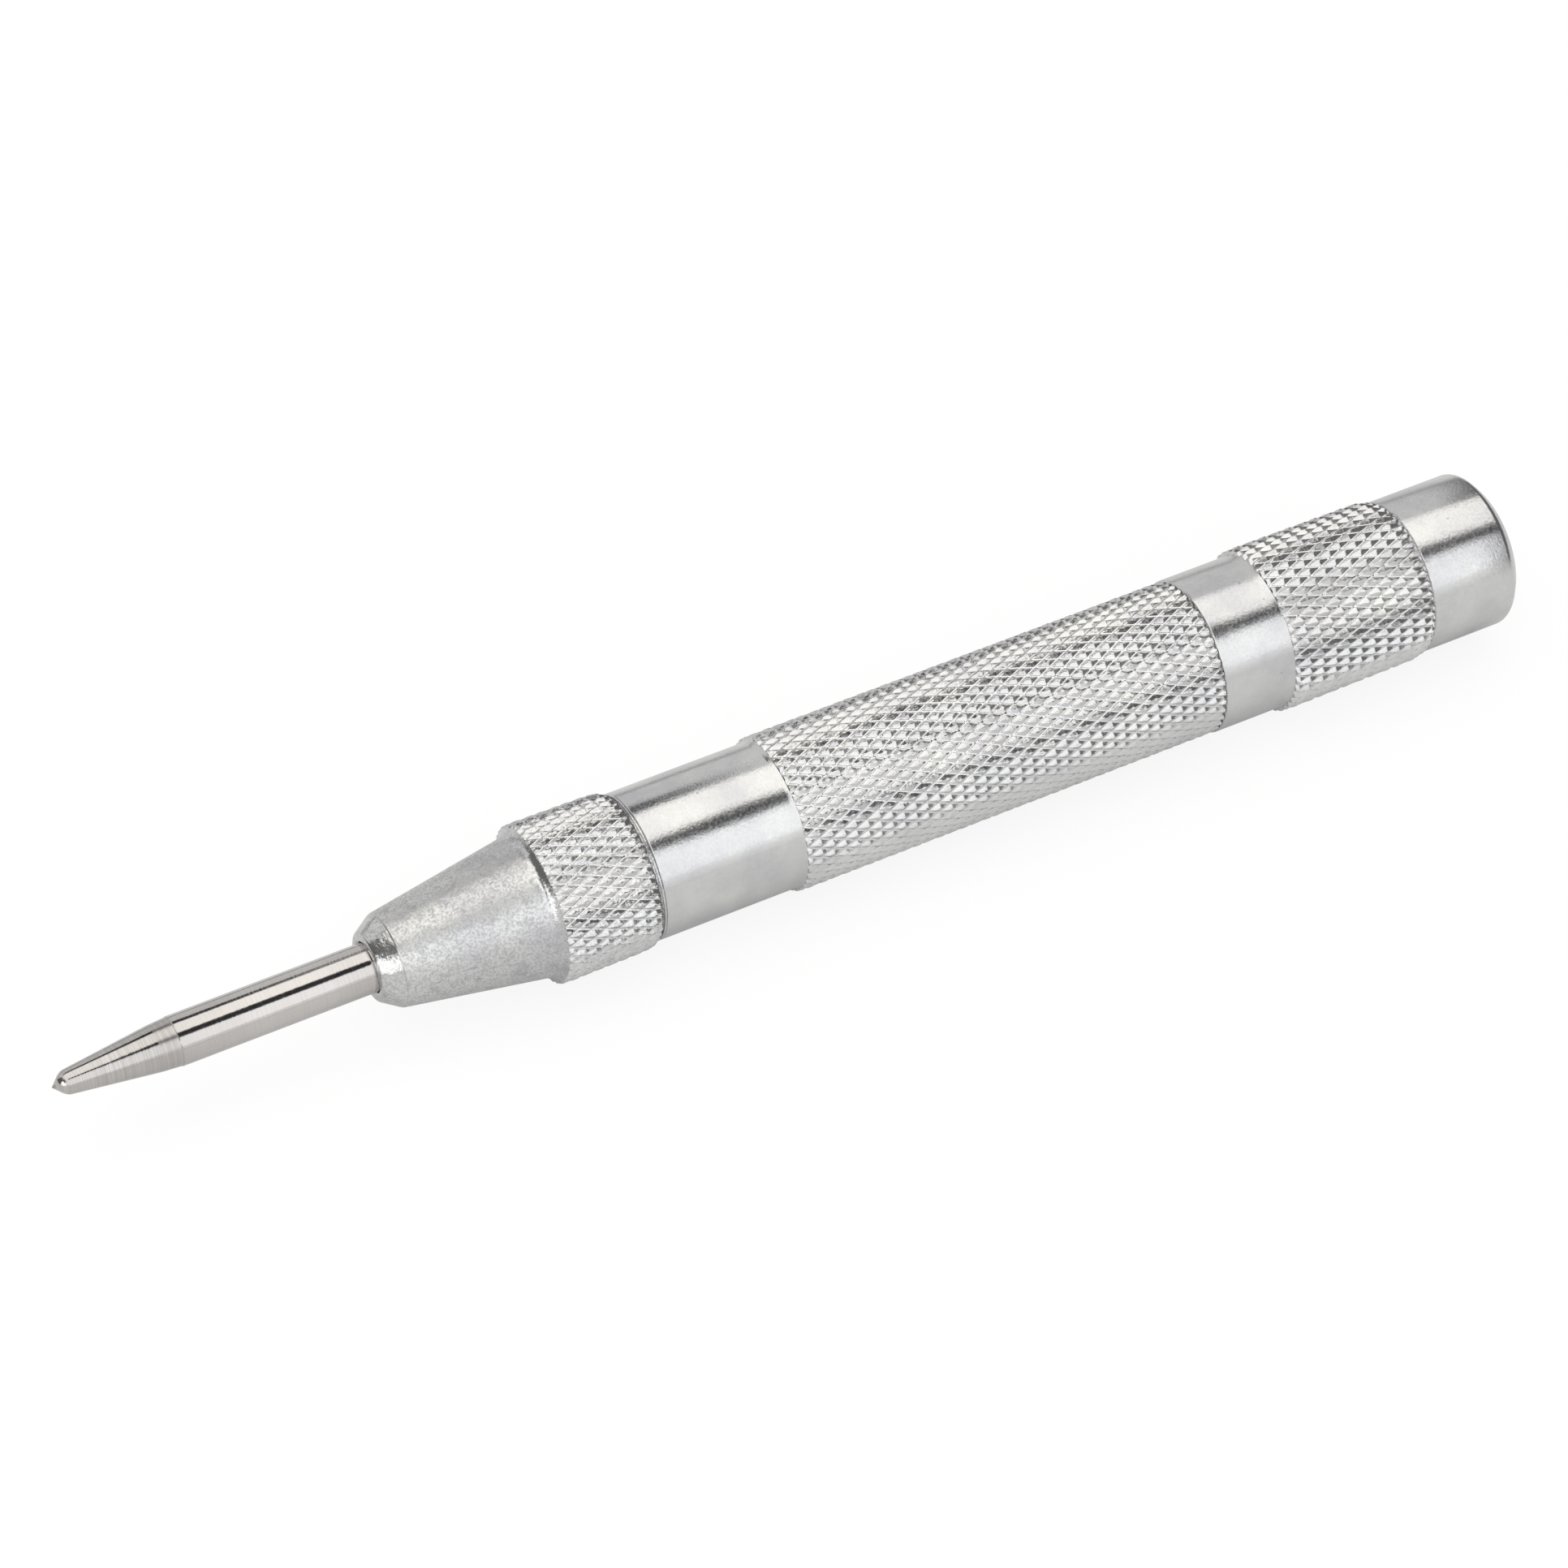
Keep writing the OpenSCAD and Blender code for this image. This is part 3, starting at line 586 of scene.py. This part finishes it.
# The share of glow is 0.82 where the camera looks and 0.07 in the metal; the rest is lit paint
seen_glow, mirrored_glow = 0.82, 0.07
ray = floor_tree.nodes.new("ShaderNodeLightPath")
in_metal = floor_tree.nodes.new("ShaderNodeMath")
in_metal.operation = "MULTIPLY"
in_metal.inputs[1].default_value = mirrored_glow
glow_share = floor_tree.nodes.new("ShaderNodeMath")
glow_share.operation = "MULTIPLY_ADD"
glow_share.inputs[1].default_value = seen_glow
both = floor_tree.nodes.new("ShaderNodeMixShader")
for giver, taker in ((ray.outputs["Is Glossy Ray"], in_metal.inputs[0]),
                     (ray.outputs["Is Camera Ray"], glow_share.inputs[0]),
                     (in_metal.outputs["Value"], glow_share.inputs[2]),
                     (glow_share.outputs["Value"], both.inputs["Fac"]),
                     (paint.outputs["BSDF"], both.inputs[1]),
                     (glow.outputs["Emission"], both.inputs[2]),
                     (both.outputs["Shader"], floor_tree.nodes["Material Output"].inputs["Surface"])):
    floor_tree.links.new(giver, taker)
floor.data.materials.append(white)

world = bpy.data.worlds.new("studio")
bpy.context.scene.world = world
world.use_nodes = True
air = world.node_tree
background = air.nodes["Background"]
background.inputs["Color"].default_value = (1, 1, 1, 1)
background.inputs["Strength"].default_value = 0.45
room = background.outputs["Background"]
room_ray = air.nodes.new("ShaderNodeLightPath")
# The room is dimmer where metal mirrors it, and pure white where the camera sees it
for kind, strength in (("Is Glossy Ray", 0.16), ("Is Camera Ray", 1.0)):
    other = air.nodes.new("ShaderNodeBackground")
    other.inputs["Color"].default_value = (1, 1, 1, 1)
    other.inputs["Strength"].default_value = strength
    choice = air.nodes.new("ShaderNodeMixShader")
    air.links.new(room_ray.outputs[kind], choice.inputs["Fac"])
    air.links.new(room, choice.inputs[1])
    air.links.new(other.outputs["Background"], choice.inputs[2])
    room = choice.outputs["Shader"]
air.links.new(room, air.nodes["World Output"].inputs["Surface"])

# Studio light
# Four long soft boxes side by side over the tool, two strips of dark felt in front of them and one more
# box beyond the point. Their reflections make the long bright and dark bands along the steel.
BOX_AWAY, BOX_LEFT = 0.6, -0.65


def towards_tool(thing, lift, distance):
    """Puts something at that angle above the horizon in front of the tool, facing it."""
    outwards = Vector((0, -math.cos(lift), math.sin(lift)))
    thing.location = Vector((0, 0, AXIS_Z)) + outwards * distance
    thing.rotation_euler = (math.pi / 2 - lift, 0, 0)


def lamp(name, width, height, strength, tint=(1, 1, 1)):
    """A rectangular lamp. Its face is as bright as strength says, whatever its size."""
    light = bpy.data.lights.new(name, "AREA")
    light.shape = "RECTANGLE"
    light.size = width
    light.size_y = height
    light.energy = strength * math.pi * width * height
    light.color = tint
    box = bpy.data.objects.new(name, light)
    bpy.context.collection.objects.link(box)
    box.visible_camera = False
    return box


def soft_box(name, first, last, strength, right, tint=(1, 1, 1)):
    """A lamp that fills the angles from first to last, in degrees above the horizon in front. It ends
    that far to the right."""
    height = 2 * BOX_AWAY * math.tan(math.radians(last - first) / 2)
    box = lamp(name, right - BOX_LEFT, height, strength, tint)
    towards_tool(box, math.radians(first + last) / 2, BOX_AWAY)
    box.location.x = (BOX_LEFT + right) / 2


soft_box("box_above", 65.5, 122.5, 1.25, right=0.62, tint=(1.0, 0.98, 0.95))
soft_box("box_in_front", 13, 65.5, 1.2, right=0.5, tint=(0.97, 0.98, 1.0))
soft_box("box_low", 0.5, 13, 0.8, right=0.5)
soft_box("box_behind", 125, 176, 0.6, right=0.42)

# Each strip is given by places along the tool and half its width there. The long one is wider where the
# rod's taper and its shank mirror it. The short one darkens the rod's upper side and ends before the
# barrel would mirror it.
felt_away = 0.55
long_strip = ((-0.24, 0.03), (-0.09, 0.04), (-0.078, 0.1), (-0.054, 0.1), (-0.03, 0.06),
              (0.05, 0.07), (0.075, 0.115), (0.125, 0.115), (0.14, 0.08), (0.62, 0.08))
short_strip = ((-0.24, 0.03), (-0.09, 0.04), (0.05, 0.077), (0.09, 0.072), (0.11, 0.045), (0.115, 0.004))
felt = bpy.data.materials.new("dark_felt")
felt.use_nodes = True
nap = felt.node_tree.nodes["Principled BSDF"]
nap.inputs["Base Color"].default_value = (0.03, 0.03, 0.035, 1)
nap.inputs["Roughness"].default_value = 1.0
for name, lift, half in (("dark_strip", 65.5, long_strip), ("dark_edge", 131.5, short_strip)):
    strip = bmesh.new()
    upper = [(x, y, 0) for x, y in half]
    lower = [(x, -y, 0) for x, y in reversed(half)]
    strip.faces.new([strip.verts.new(corner) for corner in upper + lower])
    cloth = bpy.data.objects.new(name, bpy.data.meshes.new(name))
    bpy.context.collection.objects.link(cloth)
    strip.to_mesh(cloth.data)
    strip.free()
    towards_tool(cloth, math.radians(lift), felt_away)
    cloth.visible_camera = False
    cloth.visible_diffuse = False
    cloth.data.materials.append(felt)

# The last box stands beyond the point and lights the hollow step and the bevel of the nose
point_box = lamp("box_beyond_point", 0.7, 0.45, 1.65)
point_box.location = (-0.85, -0.38, 0.24)
point_box.rotation_euler = (math.pi / 2, 0, -math.pi / 2)

# Camera
# Long lens, above and a little to the point's side of the tool. Its place and its direction were fitted
# to the tool's axis and rings in the photograph.
ahead = Vector((0.342, 0.630, -0.697)).normalized()
rightwards = Vector((0.879, -0.477, 0)).normalized()
upwards = rightwards.cross(ahead).normalized()
aim = at(62.825, 0)
camera_away, camera_left, camera_up = 0.4747, 0.00066, 0.00174
lens = bpy.data.cameras.new("photo_camera")
lens.lens = 139.75
lens.sensor_width = 36
lens.clip_start = 0.01
lens.dof.use_dof = False
camera = bpy.data.objects.new("photo_camera", lens)
bpy.context.collection.objects.link(camera)
stand = aim - ahead * camera_away - rightwards * camera_left + upwards * camera_up
facing = Matrix((rightwards, upwards, -ahead)).transposed().to_4x4()
camera.matrix_world = Matrix.Translation(stand) @ facing
bpy.context.scene.camera = camera
bpy.context.scene.view_settings.view_transform = "Standard"

bpy.context.view_layer.update()
